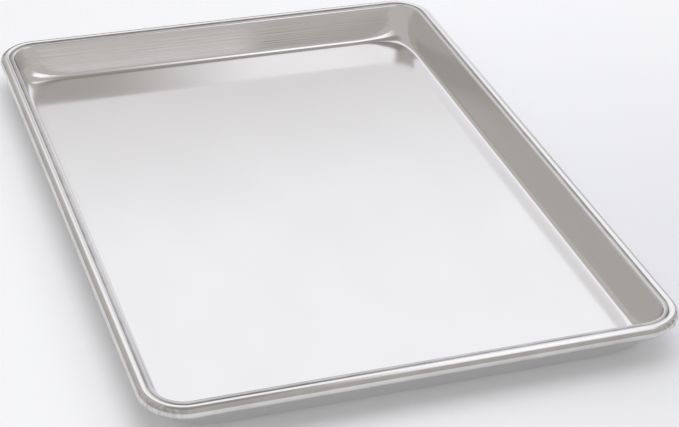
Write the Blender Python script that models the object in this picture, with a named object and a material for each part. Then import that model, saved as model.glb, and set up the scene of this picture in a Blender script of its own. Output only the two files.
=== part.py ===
"""Half-size sheet pan: one stamped aluminium sheet whose rim is rolled round a steel wire.

Metres, +Z up. The pan stands on z = 0 with its middle over the origin and its long side along Y.
Its section is drawn once, square to the rim, as inset (how far in from the rim's outer edge) and
height. Each point of the section becomes a level ring round the pan, and the rings are bridged.
"""

import math

import bmesh
import bpy
from mathutils import Vector

# Overall size, over the rolled rim
RIM_LENGTH = 0.457
RIM_WIDTH = 0.330
HEIGHT = 0.027
RIM_CORNER_RADIUS = 0.0272

# Sheet and rim wire
SHEET = 0.001
WIRE_DIAMETER = 0.0058
WIRE_CLEARANCE = 0.0003
WIRE_END_GAP = 0.0015

# Rolled rim: bend radii are those of the hollow side of each bend. A nearly level land joins the
# groove beside the bead to the shoulder over the wall.
SHOULDER_BEND = 0.0005
SHOULDER_DROP = 0.0007
LAND_RISE = math.radians(3)
GROOVE_BEND = 0.0009
RIM_SLOT = 0.0006
CURL_SEAM = 0.0008

# Walls and floor: the drawn corners lean more than the sides and have a fuller floor bend
WALL_DRAFT = math.radians(15)
CORNER_EXTRA_DRAFT = math.radians(2)
FLOOR_BEND = 0.004
CORNER_FLOOR_BEND = 0.018
FLOOR_CORNER_REACH = 0.045
FLOOR_LAND = 0.004

# Mesh fineness
CORNER_STEPS = 10
FLOOR_BEND_STEPS = 7
WALL_STEPS = 4
SHOULDER_STEPS = 6
GROOVE_STEPS = 3
BEAD_QUARTER_STEPS = 4
WIRE_BEVEL_RESOLUTION = 3
SMOOTH_ANGLE = math.radians(40)

# Sizes that follow from those above
BEAD_RADIUS = WIRE_DIAMETER / 2 + WIRE_CLEARANCE + SHEET
BEAD_CENTRE = Vector((BEAD_RADIUS, HEIGHT - BEAD_RADIUS))
SHOULDER_RADIUS = SHOULDER_BEND + SHEET
SHOULDER_CENTRE = Vector((2 * BEAD_RADIUS + RIM_SLOT - SHOULDER_BEND, HEIGHT - SHOULDER_DROP - SHOULDER_RADIUS))


def clear_scene():
    """Leaves the scene empty, whatever was open before."""
    for old in list(bpy.data.objects):
        bpy.data.objects.remove(old, do_unlink=True)


def metal(name, colour, roughness):
    """A plain metal material."""
    material = bpy.data.materials.new(name)
    material.use_nodes = True
    shader = material.node_tree.nodes["Principled BSDF"]
    shader.inputs["Base Color"].default_value = (*colour, 1.0)
    shader.inputs["Metallic"].default_value = 1.0
    shader.inputs["Roughness"].default_value = roughness
    return material


def direction(angle):
    """Unit vector in the section's plane, from the inward direction towards up."""
    return Vector((math.cos(angle), math.sin(angle)))


def angle_of(vector):
    """The angle that direction() would turn back into this vector."""
    return math.atan2(vector.y, vector.x)


def groove_centre():
    """Centre of the groove's bend, which is tangent to the bead and to the land beside the shoulder."""
    land_facing = direction(math.radians(90) + LAND_RISE)
    above = (SHOULDER_CENTRE - BEAD_CENTRE).dot(land_facing) + SHOULDER_RADIUS + GROOVE_BEND
    beside = math.sqrt((BEAD_RADIUS + GROOVE_BEND) ** 2 - above**2)
    return BEAD_CENTRE + direction(LAND_RISE) * beside + land_facing * above


def wall_inset(height, draft, floor_bend, under):
    """Inset of the wall at a height, from the shoulder's crest down to the edge of the flat floor.

    under is 0 on the upper skin and SHEET on the under skin.
    """
    shoulder_radius = SHOULDER_RADIUS - under
    bend_radius = floor_bend + under
    bend_height = SHEET + floor_bend
    top = SHOULDER_CENTRE + direction(draft) * shoulder_radius
    if height >= top.y:
        rise = min(height - SHOULDER_CENTRE.y, shoulder_radius)
        return SHOULDER_CENTRE.x + math.sqrt(shoulder_radius**2 - rise**2)
    if height >= bend_height - bend_radius * math.sin(draft):
        return top.x + (top.y - height) * math.tan(draft)
    bend_inset = top.x + (top.y - bend_height) * math.tan(draft) + bend_radius / math.cos(draft)
    depth = min(bend_height - height, bend_radius)
    return bend_inset - math.sqrt(bend_radius**2 - depth**2)


def ring(inset, height, reach, cut):
    """A level ring of the pan at this inset: straight sides joined by soft corners.

    A corner starts at reach from where the sides would meet, and cuts off that point by cut along
    each side's direction, measured on the diagonal. It is a superellipse, and a circle where cut
    is that of an arc of radius reach.
    """
    exponent = -math.log(2) / math.log(1 - cut / reach)
    across = RIM_WIDTH / 2 - inset - reach
    along = RIM_LENGTH / 2 - inset - reach
    points = []
    for quarter, (side_x, side_y) in enumerate(((1, 1), (-1, 1), (-1, -1), (1, -1))):
        for step in range(CORNER_STEPS + 1):
            turn = math.radians(90) * step / CORNER_STEPS
            spread = (math.cos(turn) ** exponent + math.sin(turn) ** exponent) ** (-1 / exponent)
            heading = turn + math.radians(90) * quarter
            x = side_x * across + reach * spread * math.cos(heading)
            y = side_y * along + reach * spread * math.sin(heading)
            points.append(Vector((x, y, height)))
    return points


def rim_ring(inset, height):
    """A ring of the rim, whose corners are arcs about the rim corner's own centre."""
    reach = RIM_CORNER_RADIUS - inset
    return ring(inset, height, reach, reach * (1 - math.sqrt(0.5)))


def wall_ring(height, under, land=0.0):
    """A ring of the wall or the floor bend. land draws it in over the flat floor."""
    floor = SHEET - under
    side = wall_inset(height, WALL_DRAFT, FLOOR_BEND, under)
    corner = wall_inset(height, WALL_DRAFT + CORNER_EXTRA_DRAFT, CORNER_FLOOR_BEND, under)
    depth = (SHOULDER_CENTRE.y - height) / (SHOULDER_CENTRE.y - floor)
    depth = max(0.0, depth)
    round_reach = RIM_CORNER_RADIUS - side
    reach = round_reach + (FLOOR_CORNER_REACH - round_reach) * depth
    cut = RIM_CORNER_RADIUS * (1 - math.sqrt(0.5)) + corner * math.sqrt(0.5) - side
    return ring(side + land, height, reach, cut)


def spaced(start, end, steps):
    """Numbers from start to end in equal steps, both ends included."""
    return [start + (end - start) * step / steps for step in range(steps + 1)]


def skin_rings(under):
    """Rings of one skin of the sheet, from the middle of the floor to the curl's cut edge."""
    floor = SHEET - under
    corner_draft = WALL_DRAFT + CORNER_EXTRA_DRAFT
    bend_radius = CORNER_FLOOR_BEND + under
    shoulder_radius = SHOULDER_RADIUS - under
    groove_radius = GROOVE_BEND + under
    bead_radius = BEAD_RADIUS - under
    groove = groove_centre()

    rings = [wall_ring(floor, under, FLOOR_LAND)]
    bend_turns = spaced(0.0, math.radians(90) - corner_draft, FLOOR_BEND_STEPS)
    bend_heights = [floor + bend_radius * (1 - math.cos(turn)) for turn in bend_turns]
    rings += [wall_ring(height, under) for height in bend_heights]
    wall_top = SHOULDER_CENTRE.y + shoulder_radius * math.sin(WALL_DRAFT)
    rings += [wall_ring(height, under) for height in spaced(bend_heights[-1], wall_top, WALL_STEPS)[1:]]

    for turn in spaced(WALL_DRAFT, math.radians(90) + LAND_RISE, SHOULDER_STEPS)[1:]:
        point = SHOULDER_CENTRE + direction(turn) * shoulder_radius
        rings.append(wall_ring(point.y, under) if turn < math.radians(90) else rim_ring(*point))

    groove_start = LAND_RISE - math.radians(90)
    groove_end = angle_of(BEAD_CENTRE - groove)
    for turn in spaced(groove_start, groove_end, GROOVE_STEPS)[:-1]:
        rings.append(rim_ring(*(groove + direction(turn) * groove_radius)))

    bead_start = angle_of(groove - BEAD_CENTRE)
    over = spaced(bead_start, math.radians(90), BEAD_QUARTER_STEPS)
    round_and_under = spaced(math.radians(90), math.radians(360), 3 * BEAD_QUARTER_STEPS)[1:]
    tuck = spaced(math.radians(360), bead_start + curl_turn(), 1)[1:]
    for turn in over + round_and_under + tuck:
        rings.append(rim_ring(*(BEAD_CENTRE + direction(turn) * bead_radius)))
    return rings


def curl_turn():
    """How far the bead is rolled: until its cut edge comes within the seam of the groove's underside."""
    span = BEAD_RADIUS + GROOVE_BEND
    edge = GROOVE_BEND + SHEET + CURL_SEAM
    open_angle = math.acos((BEAD_RADIUS**2 + span**2 - edge**2) / (2 * BEAD_RADIUS * span))
    return math.radians(360) - open_angle


def bridge_rings(mesh, rings):
    """Vertices of each ring, and a band of faces between each ring and the next."""
    loops = [[mesh.verts.new(point) for point in points] for points in rings]
    for inner, outer in zip(loops, loops[1:]):
        for here in range(len(inner)):
            after = (here + 1) % len(inner)
            mesh.faces.new((inner[here], inner[after], outer[after], outer[here]))
    return loops


def add_object(name, data, material):
    """Links an object of this data into the scene, with its material."""
    made = bpy.data.objects.new(name, data)
    bpy.context.scene.collection.objects.link(made)
    data.materials.append(material)
    return made


def make_pan_body(material):
    """The sheet: floor, drafted walls, shoulder, groove and curled bead, in one piece."""
    mesh = bmesh.new()
    upper = skin_rings(under=0.0)
    lower = skin_rings(under=SHEET)
    loops = bridge_rings(mesh, upper + lower[::-1])
    mesh.faces.new(loops[0])
    mesh.faces.new(loops[-1])
    bmesh.ops.recalc_face_normals(mesh, faces=mesh.faces)
    data = bpy.data.meshes.new("pan_body")
    mesh.to_mesh(data)
    mesh.free()
    data.shade_smooth()
    data.set_sharp_from_angle(angle=SMOOTH_ANGLE)
    return add_object("pan_body", data, material)


def make_rim_wire(material):
    """The stiffening wire inside the bead: a bent rod whose two ends nearly meet at one short side."""
    centreline = rim_ring(*BEAD_CENTRE)
    first_corner = CORNER_STEPS + 1
    centreline = centreline[first_corner:] + centreline[:first_corner]
    far_side = RIM_LENGTH / 2 - BEAD_CENTRE.x
    start = Vector((-WIRE_END_GAP / 2, far_side, BEAD_CENTRE.y))
    end = Vector((WIRE_END_GAP / 2, far_side, BEAD_CENTRE.y))
    points = [start] + centreline + [end]

    data = bpy.data.curves.new("rim_wire", "CURVE")
    data.dimensions = "3D"
    data.bevel_depth = WIRE_DIAMETER / 2
    data.bevel_resolution = WIRE_BEVEL_RESOLUTION
    data.use_fill_caps = True
    spline = data.splines.new("POLY")
    spline.points.add(len(points) - 1)
    for slot, point in zip(spline.points, points):
        slot.co = (*point, 1.0)
    spline.use_smooth = True
    return add_object("rim_wire", data, material)


def main():
    clear_scene()
    aluminium = metal("satin_aluminium", (0.80, 0.80, 0.80), 0.28)
    galvanised = metal("galvanised_steel", (0.56, 0.57, 0.58), 0.45)
    make_pan_body(aluminium)
    make_rim_wire(galvanised)


main()
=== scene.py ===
import math

import bmesh
import bpy
from bpy.props import FloatProperty, FloatVectorProperty, PointerProperty
from mathutils import Matrix, Vector


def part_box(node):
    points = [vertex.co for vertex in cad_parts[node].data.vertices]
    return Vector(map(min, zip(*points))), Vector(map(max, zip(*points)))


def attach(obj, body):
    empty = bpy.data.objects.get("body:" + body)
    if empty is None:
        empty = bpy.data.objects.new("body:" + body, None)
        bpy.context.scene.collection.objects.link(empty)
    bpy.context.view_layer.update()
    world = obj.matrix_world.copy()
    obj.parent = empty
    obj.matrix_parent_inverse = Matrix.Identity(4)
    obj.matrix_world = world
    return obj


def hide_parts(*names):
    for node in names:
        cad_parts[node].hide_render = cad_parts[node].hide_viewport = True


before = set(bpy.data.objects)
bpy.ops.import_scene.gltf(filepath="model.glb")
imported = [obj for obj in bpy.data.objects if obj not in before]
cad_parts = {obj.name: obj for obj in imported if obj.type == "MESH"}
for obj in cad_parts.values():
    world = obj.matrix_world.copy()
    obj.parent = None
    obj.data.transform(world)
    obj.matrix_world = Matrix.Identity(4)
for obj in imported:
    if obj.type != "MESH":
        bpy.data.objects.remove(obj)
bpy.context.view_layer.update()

bl_info = {
    "name": "Sheet pan",
    "version": (1, 0, 0),
    "blender": (4, 5, 0),
    "location": "3D View > Sidebar > Sheet pan",
    "description": "Dresses a half-size sheet pan: drawn aluminium body, rim wire and a pale studio",
    "category": "Add Mesh",
}

# The box of the CAD model, before anything is made here
PAN_LOW, PAN_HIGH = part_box("pan_body")

# Fineness of the pan's mesh: steps round a corner, along a side and over each bend of the section
CORNER_STEPS = 64
LONG_SIDE_STEPS = 40
SHORT_SIDE_STEPS = 30
FLOOR_BEND_STEPS = 18
WALL_STEPS = 10
SHOULDER_STEPS = 12
GROOVE_STEPS = 7
BEAD_QUARTER_STEPS = 12
WIRE_BEVEL_RESOLUTION = 5
SMOOTH_ANGLE = math.radians(40)

# Pleats and wrinkles round a corner: how many times faster than the corner the coarse and the fine wave
# turn, where the waves start at each corner, and the shares of the depth that are even, coarse and fine
PLEAT_WAVES = (24.0, 41.0)
PLEAT_STARTS = (0.4, 2.9, 1.3, 4.6)
PLEAT_EVEN = 0.5
PLEAT_COARSE = 0.3
PLEAT_FINE = 0.2
# The bead is wrinkled from the groove on, over half a turn divided by this, and most half-way along
WRINKLE_RATE = 0.7

# Painted shade along the groove beside the bead, a dark line: inset from the rim's outer edge, and how much
# shade grey is painted there
GROOVE_PAINTED_SHADE = ((0.0058, 0.0), (0.0065, 1.0), (0.0073, 1.0), (0.0079, 0.47), (0.0086, 0.47), (0.0095, 0.0))
# The bead's outside, darker as a painted reflection of a darker ground: inset from the rim's outer edge, and
# how much of it is painted there
BEAD_PAINTED_REFLECTION = ((0.0, 1.0), (0.0010, 1.0), (0.0034, 0.0))

# Heights over which the draw lines come in from the floor up, and the depths of marks in both metals
DRAW_LINES_START = 0.0012
DRAW_LINES_FULL = 0.006
DRAW_LINE_DEPTH = 0.00006
ROLL_GRAIN_DEPTH = 0.00003
ZINC_PIT_DEPTH = 0.00004
# How far roughness strays from its mean, and how much of its brightness a duller patch keeps
ALUMINIUM_UNEVENNESS = 0.02
ZINC_UNEVENNESS = 0.05
DULL_ALUMINIUM = 0.985
DULL_ZINC = 0.8
# Nearly all of a noise's values lie between these
NOISE_LOW = 0.3
NOISE_HIGH = 0.7

# The studio's floor, its ceiling light, and the height over which the room darkens overhead
FLOOR_LIFT = 0.08
FLOOR_RADIUS = 4.0
FLOOR_SIDES = 96
CEILING_HEIGHT = 2.4
CEILING_SIZE = 2.2
DARKENING_STARTS = math.radians(62)
DARKENING_ENDS = math.radians(78)

# Panels of light: width, height, place, and the soft share of their width and height at each edge
SCREEN_SIZE = (6.25, 6.66)
SCREEN_PLACE = Vector((2.45, 3.00, 4.38))
SCREEN_SOFT_EDGES = (0.08, 0.16)
FAR_LIGHT_SIZE = (1.30, 1.46)
FAR_LIGHT_PLACE = Vector((1.70, 3.02, 0.75))
FAR_LIGHT_SOFT_EDGES = (0.20, 0.08)
FLAG_SIZE = (1.70, 1.04)
FLAG_PLACE = Vector((0.20, 3.04, 0.53))
FLAG_SOFT_EDGES = (0.12, 0.12)
SOFTBOX_SIZE = (0.48, 0.52)
SOFTBOX_PLACE = Vector((0.22, -0.13, 0.40))
SOFTBOX_SOFT_EDGES = (0.42, 0.16)

# The photograph's frame, and the camera that stood before the pan
IMAGE_WIDTH = 679
SENSOR_WIDTH_MM = 36.0
FOCAL_LENGTH_PX = 1932.84
CAMERA_PLACE = Vector((-0.35827, -1.03236, 0.67058))
CAMERA_YAW = 0.3543
CAMERA_PITCH = 0.5549
CAMERA_ROLL = -0.0473


def linear(hex_colour):
    """An sRGB hex colour as linear red, green and blue."""
    values = [int(hex_colour[start:start + 2], 16) / 255 for start in (1, 3, 5)]
    return tuple(v / 12.92 if v <= 0.04045 else ((v + 0.055) / 1.055) ** 2.4 for v in values)


def length_property(name, description, default):
    """A length in metres that the user can change."""
    return FloatProperty(
        name=name, description=description, default=default, min=0.0, unit="LENGTH", precision=5
    )


def angle_property(name, description, degrees):
    """An angle that the user can change."""
    return FloatProperty(name=name, description=description, default=math.radians(degrees), unit="ROTATION")


def colour_property(name, description, hex_colour):
    """A colour that the user can change, written as sRGB hex."""
    return FloatVectorProperty(
        name=name, description=description, default=linear(hex_colour), subtype="COLOR", min=0.0, max=1.0
    )


def share_property(name, description, default):
    """A plain share between 0 and 1."""
    return FloatProperty(
        name=name, description=description, default=default, subtype="FACTOR", min=0.0, max=1.0
    )


def level_property(name, description, default):
    """A brightness, where 1 renders white."""
    return FloatProperty(name=name, description=description, default=default, min=0.0)


class SheetPanSizes(bpy.types.PropertyGroup):
    """Sizes of the sheet, its rolled rim and its wire."""

    length: length_property("Length", "Long side over the rolled rim", PAN_HIGH.y - PAN_LOW.y)
    width: length_property("Width", "Short side over the rolled rim", PAN_HIGH.x - PAN_LOW.x)
    height: length_property("Height", "From the underside to the top of the bead", PAN_HIGH.z - PAN_LOW.z)
    rim_corner_radius: length_property("Rim corner", "Plan radius of the rim's outer edge", 0.0272)
    sheet: length_property("Sheet", "Thickness of the aluminium", 0.001)
    wire_diameter: length_property("Wire", "Diameter of the rim wire", 0.0058)
    wire_clearance: length_property("Wire clearance", "Room between the wire and the bead", 0.0003)
    wire_end_gap: length_property("Wire end gap", "Gap where the wire's ends butt", 0.0015)
    shoulder_bend: length_property("Shoulder bend", "Hollow radius of the bend over the wall", 0.0005)
    shoulder_drop: length_property("Shoulder drop", "How far the shoulder lies below the bead", 0.0007)
    land_rise: angle_property("Land rise", "Slope of the land between the groove and the shoulder", 3)
    groove_bend: length_property("Groove bend", "Hollow radius of the groove beside the bead", 0.0009)
    rim_slot: length_property("Rim slot", "Room between the bead and the wall's back", 0.0006)
    curl_seam: length_property("Curl seam", "Open seam at the curl's cut edge", 0.0008)
    floor_bend: length_property("Floor bend", "Hollow radius between floor and wall at mid side", 0.004)
    corner_floor_bend: length_property("Corner floor bend", "The same radius in the drawn corners", 0.018)
    floor_corner_reach: length_property(
        "Corner reach", "How far from the corner the floor's edge starts to turn", 0.045
    )
    floor_land: length_property("Floor land", "Width of the first flat ring inside the floor bend", 0.004)
    wall_draft: angle_property("Wall draft", "Lean of the side walls", 15)
    corner_extra_draft: angle_property("Corner extra draft", "How much more the corners lean", 2)
    wall_pleats: length_property(
        "Wall pleats", "Depth of the soft pleats that drawing leaves in the corners", 0.00007
    )
    bead_wrinkles: length_property(
        "Bead wrinkles", "Depth of the wrinkles where the bead turns a corner", 0.00009
    )


class SheetPanFinish(bpy.types.PropertyGroup):
    """Colours and polish of the two metals."""

    aluminium: colour_property("Aluminium", "Drawn satin aluminium", "#E8E7E6")
    aluminium_roughness: share_property("Aluminium roughness", "Mean roughness of the rolled sheet", 0.12)
    # A darker grey, painted in as shade along the groove, as a darker reflection on the bead's outside, and
    # in the scuffs at its corners
    shade_and_scuff_grey: colour_property("Residue", "Grey rolling residue in the groove and in scuffs", "#8A8785")
    zinc: colour_property("Zinc", "Hot-dipped zinc on the wire", "#AEB1B3")
    zinc_roughness: share_property("Zinc roughness", "Mean roughness of the zinc", 0.42)


class SheetPanStudio(bpy.types.PropertyGroup):
    """Brightness of the studio, where 1 renders white."""

    floor_colour: colour_property("Floor", "Pale studio floor", "#F5F7FB")
    room_colour: colour_property("Room colour", "Slightly warm grey of the room's walls", "#FFFBF7")
    room: level_property("Room", "Plain light from the room all round", 0.55)
    overhead: level_property("Overhead", "The darker room straight above the pan", 0.34)
    screen_colour: colour_property("Screen colour", "Cool white of the screen and the softbox", "#FBFBFF")
    screen: level_property("Screen", "Brightness of the screen behind the pan", 1.12)
    far_light: level_property("Far light", "Brightness of the tall light far behind the pan", 0.95)
    flag: level_property("Flag", "The dark flag behind the pan, seen as a dark line in the groove", 0.16)
    softbox: level_property("Softbox", "Brightness of the small softbox over the pan's right side", 1.3)
    ceiling: level_property("Ceiling", "Even light from the ceiling", 0.32)


def direction(angle):
    """Unit vector in the section's plane, from the inward direction towards up."""
    return Vector((math.cos(angle), math.sin(angle)))


def angle_of(vector):
    """The angle that direction() would turn back into this vector."""
    return math.atan2(vector.y, vector.x)


def spaced(start, end, steps):
    """Numbers from start to end in equal steps, both ends included."""
    return [start + (end - start) * step / steps for step in range(steps + 1)]


def bead_of(sizes):
    """Radius of the bead's outside, and its centre as inset from the rim's outer edge and height."""
    radius = sizes.wire_diameter / 2 + sizes.wire_clearance + sizes.sheet
    return radius, Vector((radius, sizes.height - radius))


def shoulder_of(sizes):
    """Radius and centre of the shoulder, the bend that carries the wall over into the groove."""
    bead_radius = bead_of(sizes)[0]
    radius = sizes.shoulder_bend + sizes.sheet
    inset = 2 * bead_radius + sizes.rim_slot - sizes.shoulder_bend
    return radius, Vector((inset, sizes.height - sizes.shoulder_drop - radius))


def groove_centre(sizes):
    """Centre of the groove's bend, which is tangent to the bead and to the land beside the shoulder."""
    bead_radius, bead = bead_of(sizes)
    shoulder_radius, shoulder = shoulder_of(sizes)
    land_facing = direction(math.radians(90) + sizes.land_rise)
    above = (shoulder - bead).dot(land_facing) + shoulder_radius + sizes.groove_bend
    beside = math.sqrt((bead_radius + sizes.groove_bend) ** 2 - above**2)
    return bead + direction(sizes.land_rise) * beside + land_facing * above


def wall_inset(sizes, height, draft, floor_bend, under):
    """Inset of the wall at a height, from the shoulder's crest down to the edge of the flat floor.

    under is 0 on the upper skin and the sheet's thickness on the under skin.
    """
    crest_radius, shoulder = shoulder_of(sizes)
    shoulder_radius = crest_radius - under
    bend_radius = floor_bend + under
    bend_height = sizes.sheet + floor_bend
    top = shoulder + direction(draft) * shoulder_radius
    if height >= top.y:
        rise = min(height - shoulder.y, shoulder_radius)
        return shoulder.x + math.sqrt(shoulder_radius**2 - rise**2)
    if height >= bend_height - bend_radius * math.sin(draft):
        return top.x + (top.y - height) * math.tan(draft)
    bend_inset = top.x + (top.y - bend_height) * math.tan(draft) + bend_radius / math.cos(draft)
    depth = min(bend_height - height, bend_radius)
    return bend_inset - math.sqrt(bend_radius**2 - depth**2)


def pleat(quarter, turn):
    """How deep the pleats are at this turn of a corner, from 0 to 1. They fade out towards its ends."""
    coarse, fine = (math.sin(waves * turn + PLEAT_STARTS[quarter]) for waves in PLEAT_WAVES)
    return math.sin(2 * turn) * (PLEAT_EVEN + PLEAT_COARSE * coarse + PLEAT_FINE * fine)


def ring(sizes, inset, height, reach, cut, pleats=0.0):
    """A level ring of the pan at this inset: straight sides joined by soft corners.

    A corner starts at reach from where the sides would meet and is a superellipse that cuts off
    that point by cut, measured on the diagonal. pleats presses it in by up to that much. The sides
    are divided too, so that the faces stay short.
    """
    exponent = -math.log(2) / math.log(1 - cut / reach)
    across = sizes.width / 2 - inset - reach
    along = sizes.length / 2 - inset - reach
    corners = []
    for quarter, (side_x, side_y) in enumerate(((1, 1), (-1, 1), (-1, -1), (1, -1))):
        corner = []
        for turn in spaced(0.0, math.radians(90), CORNER_STEPS):
            spread = (math.cos(turn) ** exponent + math.sin(turn) ** exponent) ** (-1 / exponent)
            heading = turn + math.radians(90) * quarter
            radius = reach * spread - pleats * pleat(quarter, turn)
            x = side_x * across + radius * math.cos(heading)
            y = side_y * along + radius * math.sin(heading)
            corner.append(Vector((x, y, height)))
        corners.append(corner)
    points = []
    for quarter, corner in enumerate(corners):
        following = corners[(quarter + 1) % 4]
        steps = SHORT_SIDE_STEPS if quarter % 2 == 0 else LONG_SIDE_STEPS
        points += corner
        points += [corner[-1].lerp(following[0], step / steps) for step in range(1, steps)]
    return points


def rim_ring(sizes, inset, height, pleats=0.0):
    """A ring of the rim, whose corners are arcs about the rim corner's own centre."""
    reach = sizes.rim_corner_radius - inset
    return ring(sizes, inset, height, reach, reach * (1 - math.sqrt(0.5)), pleats)


def wall_ring(sizes, height, under, land=0.0):
    """A ring of the wall or the floor bend. land draws it in over the flat floor.

    The pleats of both skins are deepest half-way up the wall, so the sheet keeps its thickness.
    """
    shoulder = shoulder_of(sizes)[1]
    floor = sizes.sheet - under
    corner_draft = sizes.wall_draft + sizes.corner_extra_draft
    side = wall_inset(sizes, height, sizes.wall_draft, sizes.floor_bend, under)
    corner = wall_inset(sizes, height, corner_draft, sizes.corner_floor_bend, under)
    depth = max(0.0, (shoulder.y - height) / (shoulder.y - floor))
    round_reach = sizes.rim_corner_radius - side
    reach = round_reach + (sizes.floor_corner_reach - round_reach) * depth
    cut = sizes.rim_corner_radius * (1 - math.sqrt(0.5)) + corner * math.sqrt(0.5) - side
    pleats = sizes.wall_pleats * 4 * depth * max(0.0, 1 - depth)
    return ring(sizes, side + land, height, reach, cut, pleats)


def curl_turn(sizes):
    """How far the bead is rolled: until its cut edge comes within the seam of the groove's underside."""
    bead_radius = bead_of(sizes)[0]
    span = bead_radius + sizes.groove_bend
    edge = sizes.groove_bend + sizes.sheet + sizes.curl_seam
    open_angle = math.acos((bead_radius**2 + span**2 - edge**2) / (2 * bead_radius * span))
    return math.radians(360) - open_angle


def skin_rings(sizes, under):
    """Rings of one skin of the sheet, from the middle of the floor to the curl's cut edge."""
    bead_radius, bead = bead_of(sizes)
    shoulder_radius, shoulder = shoulder_of(sizes)
    groove = groove_centre(sizes)
    floor = sizes.sheet - under
    corner_draft = sizes.wall_draft + sizes.corner_extra_draft
    bend_radius = sizes.corner_floor_bend + under

    rings = [wall_ring(sizes, floor, under, sizes.floor_land)]
    bend_turns = spaced(0.0, math.radians(90) - corner_draft, FLOOR_BEND_STEPS)
    bend_heights = [floor + bend_radius * (1 - math.cos(turn)) for turn in bend_turns]
    rings += [wall_ring(sizes, height, under) for height in bend_heights]
    wall_top = shoulder.y + (shoulder_radius - under) * math.sin(sizes.wall_draft)
    wall_heights = spaced(bend_heights[-1], wall_top, WALL_STEPS)[1:]
    rings += [wall_ring(sizes, height, under) for height in wall_heights]

    for turn in spaced(sizes.wall_draft, math.radians(90) + sizes.land_rise, SHOULDER_STEPS)[1:]:
        point = shoulder + direction(turn) * (shoulder_radius - under)
        rings.append(wall_ring(sizes, point.y, under) if turn < math.radians(90) else rim_ring(sizes, *point))

    groove_start = sizes.land_rise - math.radians(90)
    for turn in spaced(groove_start, angle_of(bead - groove), GROOVE_STEPS)[:-1]:
        rings.append(rim_ring(sizes, *(groove + direction(turn) * (sizes.groove_bend + under))))

    bead_start = angle_of(groove - bead)
    over = spaced(bead_start, math.radians(90), BEAD_QUARTER_STEPS)
    round_and_under = spaced(math.radians(90), math.radians(360), 3 * BEAD_QUARTER_STEPS)[1:]
    tuck = spaced(math.radians(360), bead_start + curl_turn(sizes), BEAD_QUARTER_STEPS // 3)[1:]
    for turn in over + round_and_under + tuck:
        wrinkled = max(0.0, math.sin((turn - bead_start) * WRINKLE_RATE)) if under == 0.0 else 0.0
        point = bead + direction(turn) * (bead_radius - under)
        rings.append(rim_ring(sizes, *point, sizes.bead_wrinkles * wrinkled))
    return rings


def bridge_rings(mesh, rings):
    """Vertices of each ring, and a band of faces between each ring and the next."""
    loops = [[mesh.verts.new(point) for point in points] for points in rings]
    for inner, outer in zip(loops, loops[1:]):
        for here in range(len(inner)):
            after = (here + 1) % len(inner)
            mesh.faces.new((inner[here], inner[after], outer[after], outer[here]))
    return loops


def add_object(name, data, material):
    """Links an object of this data into the scene, with its material."""
    made = bpy.data.objects.new(name, data)
    bpy.context.scene.collection.objects.link(made)
    data.materials.append(material)
    return made


def add_node(tree, kind, settings=None, inputs=None):
    """Adds a node with its settings, and with a value or a link for each input it is given.

    A link is an output socket, or a node, which stands for its first output.
    """
    node = tree.nodes.new(kind)
    for name, value in (settings or {}).items():
        setattr(node, name, value)
    for name, value in (inputs or {}).items():
        if isinstance(value, bpy.types.Node):
            value = value.outputs[0]
        if isinstance(value, bpy.types.NodeSocket):
            tree.links.new(value, node.inputs[name])
        else:
            node.inputs[name].default_value = value
    return node


def new_material(name):
    """An empty node material with its output."""
    material = bpy.data.materials.new(name)
    material.use_nodes = True
    material.node_tree.nodes.clear()
    return material, material.node_tree


def finish_material(tree, shader):
    """Leads the shader to the material's output."""
    add_node(tree, "ShaderNodeOutputMaterial", inputs={"Surface": shader})


def per_metre(spacing_mm):
    """A noise scale whose waves are about this far apart."""
    return 1000.0 / spacing_mm


def uneven_marks(tree, place, spacing_mm, low, high, detail=2.0):
    """Random marks this many millimetres apart along X, Y and Z, as a value between low and high."""
    scaled = add_node(
        tree, "ShaderNodeVectorMath", {"operation": "MULTIPLY"},
        {0: place, 1: tuple(per_metre(spacing) for spacing in spacing_mm)},
    )
    marks = add_node(tree, "ShaderNodeTexNoise", inputs={"Vector": scaled, "Scale": 1.0, "Detail": detail})
    return add_node(
        tree, "ShaderNodeMapRange", {"interpolation_type": "SMOOTHSTEP"},
        {"Value": marks, "From Min": NOISE_LOW, "From Max": NOISE_HIGH, "To Min": low, "To Max": high},
    )


def along_table(table, place):
    """The value at a place of a table of (place, value) pairs, straight between them and level beyond."""
    for (start, first), (end, last) in zip(table, table[1:]):
        if place <= end:
            share = max(0.0, (place - start) / (end - start))
            return first + (last - first) * share
    return table[-1][1]


def paint_shade_and_scuffs(sizes, data):
    """Marks on the mesh where a darker grey is painted: shade along the groove, a darker reflection on the
    bead's outside, and scuffs with painted shade on its corners.
    """
    radius = sizes.rim_corner_radius
    names = ("groove_painted_shade", "bead_painted_reflection", "scuffed_and_shaded_corner")
    groove_shade, bead_reflection, scuffs = (data.attributes.new(name, "FLOAT", "POINT").data for name in names)
    for vertex in data.vertices:
        across = abs(vertex.co.x) - sizes.width / 2 + radius
        along = abs(vertex.co.y) - sizes.length / 2 + radius
        inset, corner = radius - max(across, along), 0.0
        if across > 0 and along > 0:
            inset, corner = radius - math.hypot(across, along), math.sin(2 * math.atan2(along, across))
        groove_shade[vertex.index].value = along_table(GROOVE_PAINTED_SHADE, inset)
        bead_reflection[vertex.index].value = along_table(BEAD_PAINTED_REFLECTION, inset)
        # Scuffs with painted shade of the wrinkles where the bead turns a corner, over the bead's painted
        # darker outside
        scuffs[vertex.index].value = along_table(BEAD_PAINTED_REFLECTION, inset) * corner


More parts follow.
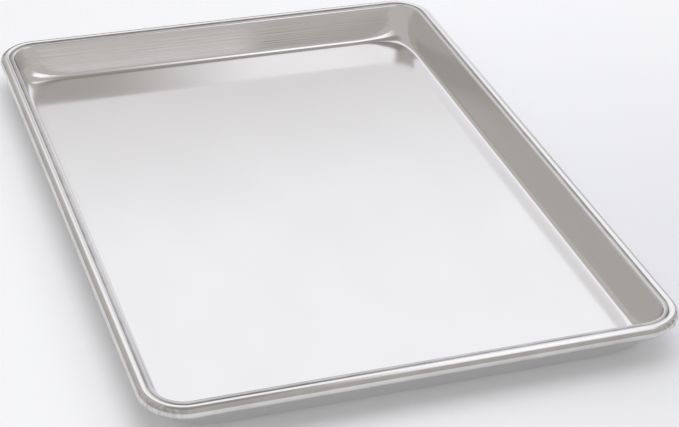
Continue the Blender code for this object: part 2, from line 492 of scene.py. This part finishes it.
def drawn_satin_aluminium(finish):
    """Commercial aluminium sheet, rolled, then drawn over a punch and left bare.

    The rolls leave a soft satin grain along the pan's floor, and the draw leaves faint level
    lines round the walls, so that reflections are clear but soft and a little streaked. Grain and
    lines are drawn about 1 mm apart, coarser than the real ones, so that they show. A darker grey is
    painted in as shade along the groove beside the bead, as a darker reflection on the bead's
    outside, and as scuffs with painted shade in streaks where the bead turns a corner.
    """
    material, tree = new_material("drawn_satin_aluminium")
    place = add_node(tree, "ShaderNodeTexCoord").outputs["Object"]
    height = add_node(tree, "ShaderNodeSeparateXYZ", inputs={0: place}).outputs["Z"]
    on_walls = add_node(
        tree, "ShaderNodeMapRange", {"interpolation_type": "SMOOTHSTEP"},
        {"Value": height, "From Min": DRAW_LINES_START, "From Max": DRAW_LINES_FULL},
    )
    cloud = uneven_marks(tree, place, (70, 110, 40), 0.0, 1.0)
    draw_lines = uneven_marks(tree, place, (160, 160, 0.9), 0.0, 1.0, detail=3.0)
    draw_bands = uneven_marks(tree, place, (240, 240, 6), -0.02, 0.03, detail=1.0)
    roll_grain = uneven_marks(tree, place, (1.1, 60, 60), 0.0, 1.0)

    lines = add_node(tree, "ShaderNodeMath", {"operation": "MULTIPLY"}, {0: draw_lines, 1: on_walls})
    line_bump = add_node(
        tree, "ShaderNodeBump", inputs={"Strength": 0.32, "Distance": DRAW_LINE_DEPTH, "Height": lines}
    )
    bump = add_node(
        tree, "ShaderNodeBump",
        inputs={"Strength": 0.15, "Distance": ROLL_GRAIN_DEPTH, "Height": roll_grain, "Normal": line_bump},
    )
    rougher = add_node(tree, "ShaderNodeMath", {"operation": "MULTIPLY"}, {0: draw_bands, 1: on_walls})
    mean = finish.aluminium_roughness
    uneven = add_node(
        tree, "ShaderNodeMapRange",
        inputs={"Value": cloud, "To Min": mean - ALUMINIUM_UNEVENNESS, "To Max": mean + ALUMINIUM_UNEVENNESS},
    )
    roughness = add_node(tree, "ShaderNodeMath", {"operation": "ADD"}, {0: uneven, 1: rougher})
    duller = tuple(value * DULL_ALUMINIUM for value in finish.aluminium)
    tint = add_node(
        tree, "ShaderNodeMix", {"data_type": "RGBA"},
        {0: cloud, 6: (*finish.aluminium, 1.0), 7: (*duller, 1.0)},
    ).outputs[2]
    # How much of the darker grey shows: painted shade along the groove, a painted darker reflection on the
    # bead's outside, and scuffs with painted shade at its corners
    shade_and_scuff_share = 0.0
    for name, marks in (
        ("groove_painted_shade", uneven_marks(tree, place, (14, 14, 14), 0.75, 0.95)),
        ("bead_painted_reflection", uneven_marks(tree, place, (25, 25, 25), 0.18, 0.34)),
        ("scuffed_and_shaded_corner", uneven_marks(tree, place, (2.2, 2.2, 16), -0.25, 0.3, detail=3.0)),
    ):
        painted = add_node(tree, "ShaderNodeAttribute", {"attribute_name": name}).outputs["Fac"]
        shade_and_scuff_share = add_node(
            tree, "ShaderNodeMath", {"operation": "MULTIPLY_ADD", "use_clamp": True},
            {0: painted, 1: marks, 2: shade_and_scuff_share},
        )
    colour = add_node(
        tree, "ShaderNodeMix", {"data_type": "RGBA"}, {0: shade_and_scuff_share, 6: tint, 7: (*finish.shade_and_scuff_grey, 1.0)}
    ).outputs[2]
    finish_material(tree, add_node(
        tree, "ShaderNodeBsdfPrincipled",
        inputs={"Base Color": colour, "Metallic": 1.0, "Roughness": roughness, "Normal": bump},
    ))
    return material


def galvanised_steel(finish):
    """Drawn steel wire dipped in zinc, whose grains give a dull, faintly spangled grey."""
    material, tree = new_material("galvanised_steel")
    place = add_node(tree, "ShaderNodeTexCoord").outputs["Object"]
    grains = add_node(tree, "ShaderNodeTexVoronoi", inputs={"Vector": place, "Scale": per_metre(1.6)})
    grain_shade = add_node(tree, "ShaderNodeSeparateColor", inputs={0: grains.outputs["Color"]})
    duller = tuple(value * DULL_ZINC for value in finish.zinc)
    shade = add_node(
        tree, "ShaderNodeMix", {"data_type": "RGBA"},
        {0: grain_shade, 6: (*finish.zinc, 1.0), 7: (*duller, 1.0)},
    )
    pits = uneven_marks(tree, place, (0.5, 0.5, 0.5), 0.0, 1.0)
    bump = add_node(
        tree, "ShaderNodeBump", inputs={"Strength": 0.3, "Distance": ZINC_PIT_DEPTH, "Height": pits}
    )
    mean = finish.zinc_roughness
    roughness = add_node(
        tree, "ShaderNodeMapRange",
        inputs={"Value": pits, "To Min": mean - ZINC_UNEVENNESS, "To Max": mean + ZINC_UNEVENNESS},
    )
    finish_material(tree, add_node(
        tree, "ShaderNodeBsdfPrincipled",
        inputs={"Base Color": shade.outputs[2], "Metallic": 1.0, "Roughness": roughness, "Normal": bump},
    ))
    return material


def build_pan_body(sizes, finish):
    """The sheet as one closed mesh: floor, drafted walls, shoulder, groove and curled bead."""
    mesh = bmesh.new()
    upper = skin_rings(sizes, 0.0)
    lower = skin_rings(sizes, sizes.sheet)
    loops = bridge_rings(mesh, upper + lower[::-1])
    mesh.faces.new(loops[0])
    mesh.faces.new(loops[-1])
    bmesh.ops.recalc_face_normals(mesh, faces=mesh.faces)
    data = bpy.data.meshes.new("pan_shell")
    mesh.to_mesh(data)
    mesh.free()
    data.shade_smooth()
    data.set_sharp_from_angle(angle=SMOOTH_ANGLE)
    paint_shade_and_scuffs(sizes, data)
    body = add_object("pan_shell", data, drawn_satin_aluminium(finish))
    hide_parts("pan_body")
    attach(body, "root")
    return body


def build_rim_wire(sizes, finish):
    """The stiffening wire inside the bead, bent to the rim's shape, its ends butted at one short side."""
    bead = bead_of(sizes)[1]
    centreline = rim_ring(sizes, *bead)
    first_corner = CORNER_STEPS + 1
    short_side = SHORT_SIDE_STEPS - 1
    centreline = centreline[first_corner + short_side:] + centreline[:first_corner]
    far_side = sizes.length / 2 - bead.x
    start = Vector((-sizes.wire_end_gap / 2, far_side, bead.y))
    end = Vector((sizes.wire_end_gap / 2, far_side, bead.y))
    points = [start] + centreline + [end]

    data = bpy.data.curves.new("stiffening_wire", "CURVE")
    data.dimensions = "3D"
    data.bevel_depth = sizes.wire_diameter / 2
    data.bevel_resolution = WIRE_BEVEL_RESOLUTION
    data.use_fill_caps = True
    spline = data.splines.new("POLY")
    spline.points.add(len(points) - 1)
    for slot, point in zip(spline.points, points):
        slot.co = (*point, 1.0)
    spline.use_smooth = True
    wire = add_object("stiffening_wire", data, galvanised_steel(finish))
    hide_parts("rim_wire")
    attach(wire, "root")
    return wire


def pale_floor_paint(studio):
    """Matt white paint on the studio floor, lifted a little towards white where it is looked at.

    A camera, a metal and a glass all see the lift, and the paint under it keeps the pan's shadow.
    """
    material, tree = new_material("pale_floor_paint")
    matt = add_node(tree, "ShaderNodeBsdfDiffuse", inputs={"Color": (*studio.floor_colour, 1.0)})
    path = add_node(tree, "ShaderNodeLightPath")
    seen = path.outputs["Is Camera Ray"]
    for other in ("Is Glossy Ray", "Is Transmission Ray"):
        seen = add_node(tree, "ShaderNodeMath", {"operation": "MAXIMUM"}, {0: seen, 1: path.outputs[other]})
    lift = add_node(tree, "ShaderNodeMath", {"operation": "MULTIPLY"}, {0: seen, 1: FLOOR_LIFT})
    glow = add_node(tree, "ShaderNodeEmission", inputs={"Strength": lift})
    finish_material(tree, add_node(tree, "ShaderNodeAddShader", inputs={0: matt, 1: glow}))
    return material


def build_floor(studio):
    """A wide round floor under the pan."""
    mesh = bmesh.new()
    bmesh.ops.create_circle(mesh, cap_ends=True, radius=FLOOR_RADIUS, segments=FLOOR_SIDES)
    data = bpy.data.meshes.new("studio_floor")
    mesh.to_mesh(data)
    mesh.free()
    floor = add_object("studio_floor", data, pale_floor_paint(studio))


def hang_ceiling_light(studio):
    """A wide soft lamp over the pan. It brightens the floor and stays out of the metal's reflections.

    Its power makes up for its small share of the sky, so that the floor's light is the level asked for.
    """
    radius = CEILING_SIZE / 2
    area = math.pi * radius**2
    share_of_sky = radius**2 / (radius**2 + CEILING_HEIGHT**2)
    data = bpy.data.lights.new("ceiling_light", "AREA")
    data.shape = "DISK"
    data.size = CEILING_SIZE
    data.energy = studio.ceiling / share_of_sky * math.pi * area
    lamp = bpy.data.objects.new("ceiling_light", data)
    lamp.location = (0.0, 0.0, CEILING_HEIGHT)
    lamp.visible_camera = False
    lamp.visible_glossy = False
    bpy.context.scene.collection.objects.link(lamp)


def woven_cloth(name, colour, brightness, soft_edges):
    """Woven cloth on a frame, lit from behind to this brightness. The flag's is hardly lit and looks dark.

    It fades out towards its edges, so that its reflection in the metal ends softly.
    """
    material, tree = new_material(name)
    place = add_node(tree, "ShaderNodeTexCoord").outputs["Generated"]
    centred = add_node(
        tree, "ShaderNodeVectorMath", {"operation": "SUBTRACT"}, {0: place, 1: (0.5, 0.5, 0.0)}
    )
    off_centre = add_node(tree, "ShaderNodeVectorMath", {"operation": "ABSOLUTE"}, {0: centred})
    split = add_node(tree, "ShaderNodeSeparateXYZ", inputs={0: off_centre})
    share = 1.0
    for axis, softness in zip("XY", soft_edges):
        edge = add_node(
            tree, "ShaderNodeMapRange", {"interpolation_type": "SMOOTHSTEP"},
            {"Value": split.outputs[axis], "From Min": 0.5, "From Max": 0.5 - softness},
        )
        share = add_node(tree, "ShaderNodeMath", {"operation": "MULTIPLY"}, {0: share, 1: edge})
    clear = add_node(tree, "ShaderNodeBsdfTransparent")
    glow = add_node(tree, "ShaderNodeEmission", inputs={"Color": (*colour, 1.0), "Strength": brightness})
    finish_material(tree, add_node(tree, "ShaderNodeMixShader", inputs={0: share, 1: clear, 2: glow}))
    return material


def hang_panel(name, size, place, aim, material):
    """A flat panel that faces along aim. The camera sees past it, as only the pan should show."""
    width, height = size
    mesh = bmesh.new()
    corners = ((-1, -1), (1, -1), (1, 1), (-1, 1))
    mesh.faces.new([mesh.verts.new((x * width / 2, y * height / 2, 0.0)) for x, y in corners])
    data = bpy.data.meshes.new(name)
    mesh.to_mesh(data)
    mesh.free()
    panel = add_object(name, data, material)
    panel.location = place
    panel.rotation_euler = (-aim).to_track_quat("Z", "Y").to_euler()
    panel.visible_camera = False


def hang_panels(studio):
    """The screen behind the pan, the light and the dark flag at its foot, and the softbox to the right."""
    level, down = Vector((0, -1, 0)), Vector((0, 0, -1))
    for name, size, place, aim, brightness, soft_edges in (
        ("screen", SCREEN_SIZE, SCREEN_PLACE, level, studio.screen, SCREEN_SOFT_EDGES),
        ("far_light", FAR_LIGHT_SIZE, FAR_LIGHT_PLACE, level, studio.far_light, FAR_LIGHT_SOFT_EDGES),
        ("flag", FLAG_SIZE, FLAG_PLACE, level, studio.flag, FLAG_SOFT_EDGES),
        ("softbox", SOFTBOX_SIZE, SOFTBOX_PLACE, down, studio.softbox, SOFTBOX_SOFT_EDGES),
    ):
        cloth = woven_cloth(f"{name}_woven_cloth", studio.screen_colour, brightness, soft_edges)
        hang_panel(name, size, place, aim, cloth)


def light_world(studio):
    """A plain grey room, darker overhead."""
    world = bpy.data.worlds.new("studio_room")
    world.use_nodes = True
    tree = world.node_tree
    tree.nodes.clear()
    place = add_node(tree, "ShaderNodeTexCoord").outputs["Generated"]
    height = add_node(tree, "ShaderNodeSeparateXYZ", inputs={0: place}).outputs["Z"]
    share = add_node(
        tree, "ShaderNodeMapRange", {"interpolation_type": "SMOOTHSTEP"},
        {"Value": height, "From Min": math.sin(DARKENING_STARTS), "From Max": math.sin(DARKENING_ENDS)},
    )
    light = add_node(
        tree, "ShaderNodeMix", {"data_type": "RGBA"},
        {
            0: share,
            6: (*[value * studio.room for value in studio.room_colour], 1.0),
            7: (*[value * studio.overhead for value in studio.room_colour], 1.0),
        },
    )
    background = add_node(tree, "ShaderNodeBackground", inputs={"Color": light.outputs[2]})
    add_node(tree, "ShaderNodeOutputWorld", inputs={"Surface": background})
    bpy.context.scene.world = world


def place_camera():
    """The camera where the photograph was taken."""
    forward = Vector((
        math.sin(CAMERA_YAW) * math.cos(CAMERA_PITCH),
        math.cos(CAMERA_YAW) * math.cos(CAMERA_PITCH),
        -math.sin(CAMERA_PITCH),
    ))
    right = Vector((math.cos(CAMERA_YAW), -math.sin(CAMERA_YAW), 0.0))
    down = forward.cross(right)
    rolled_right = right * math.cos(CAMERA_ROLL) + down * math.sin(CAMERA_ROLL)
    rolled_down = down * math.cos(CAMERA_ROLL) - right * math.sin(CAMERA_ROLL)
    turned = Matrix((rolled_right, -rolled_down, -forward)).transposed()
    data = bpy.data.cameras.new("camera")
    data.sensor_width = SENSOR_WIDTH_MM
    data.lens = FOCAL_LENGTH_PX / IMAGE_WIDTH * SENSOR_WIDTH_MM
    camera = bpy.data.objects.new("camera", data)
    camera.matrix_world = Matrix.Translation(CAMERA_PLACE) @ turned.to_4x4()
    bpy.context.scene.collection.objects.link(camera)
    bpy.context.scene.camera = camera


class SHEETPAN_OT_body(bpy.types.Operator):
    """Builds the drawn and rim-rolled aluminium sheet."""

    bl_idname = "sheet_pan.body"
    bl_label = "Pan body"

    def execute(self, context):
        build_pan_body(context.scene.sheet_pan_sizes, context.scene.sheet_pan_finish)
        return {"FINISHED"}


class SHEETPAN_OT_wire(bpy.types.Operator):
    """Builds the galvanised wire inside the rolled bead."""

    bl_idname = "sheet_pan.wire"
    bl_label = "Rim wire"

    def execute(self, context):
        build_rim_wire(context.scene.sheet_pan_sizes, context.scene.sheet_pan_finish)
        return {"FINISHED"}


class SHEETPAN_OT_stage(bpy.types.Operator):
    """Lays the pale floor, sets up the studio's light and places the camera."""

    bl_idname = "sheet_pan.stage"
    bl_label = "Studio"

    def execute(self, context):
        studio = context.scene.sheet_pan_studio
        build_floor(studio)
        light_world(studio)
        hang_ceiling_light(studio)
        hang_panels(studio)
        place_camera()
        context.scene.view_settings.view_transform = "Standard"
        return {"FINISHED"}


class SHEETPAN_PT_panel(bpy.types.Panel):
    """Sizes, finish and studio of the sheet pan."""

    bl_idname = "SHEETPAN_PT_panel"
    bl_label = "Sheet pan"
    bl_space_type = "VIEW_3D"
    bl_region_type = "UI"
    bl_category = "Sheet pan"

    def draw(self, context):
        for group, operators in (
            (context.scene.sheet_pan_sizes, ("sheet_pan.body", "sheet_pan.wire")),
            (context.scene.sheet_pan_finish, ()),
            (context.scene.sheet_pan_studio, ("sheet_pan.stage",)),
        ):
            box = self.layout.box()
            for name in group.__annotations__:
                box.prop(group, name)
            for operator in operators:
                box.operator(operator)


CLASSES = (
    SheetPanSizes, SheetPanFinish, SheetPanStudio,
    SHEETPAN_OT_body, SHEETPAN_OT_wire, SHEETPAN_OT_stage, SHEETPAN_PT_panel,
)


def register():
    for each in CLASSES:
        bpy.utils.register_class(each)
    bpy.types.Scene.sheet_pan_sizes = PointerProperty(type=SheetPanSizes)
    bpy.types.Scene.sheet_pan_finish = PointerProperty(type=SheetPanFinish)
    bpy.types.Scene.sheet_pan_studio = PointerProperty(type=SheetPanStudio)


def unregister():
    del bpy.types.Scene.sheet_pan_studio
    del bpy.types.Scene.sheet_pan_finish
    del bpy.types.Scene.sheet_pan_sizes
    for each in reversed(CLASSES):
        bpy.utils.unregister_class(each)


def main():
    register()
    bpy.ops.sheet_pan.stage()
    bpy.ops.sheet_pan.body()
    bpy.ops.sheet_pan.wire()


if __name__ == "__main__":
    main()
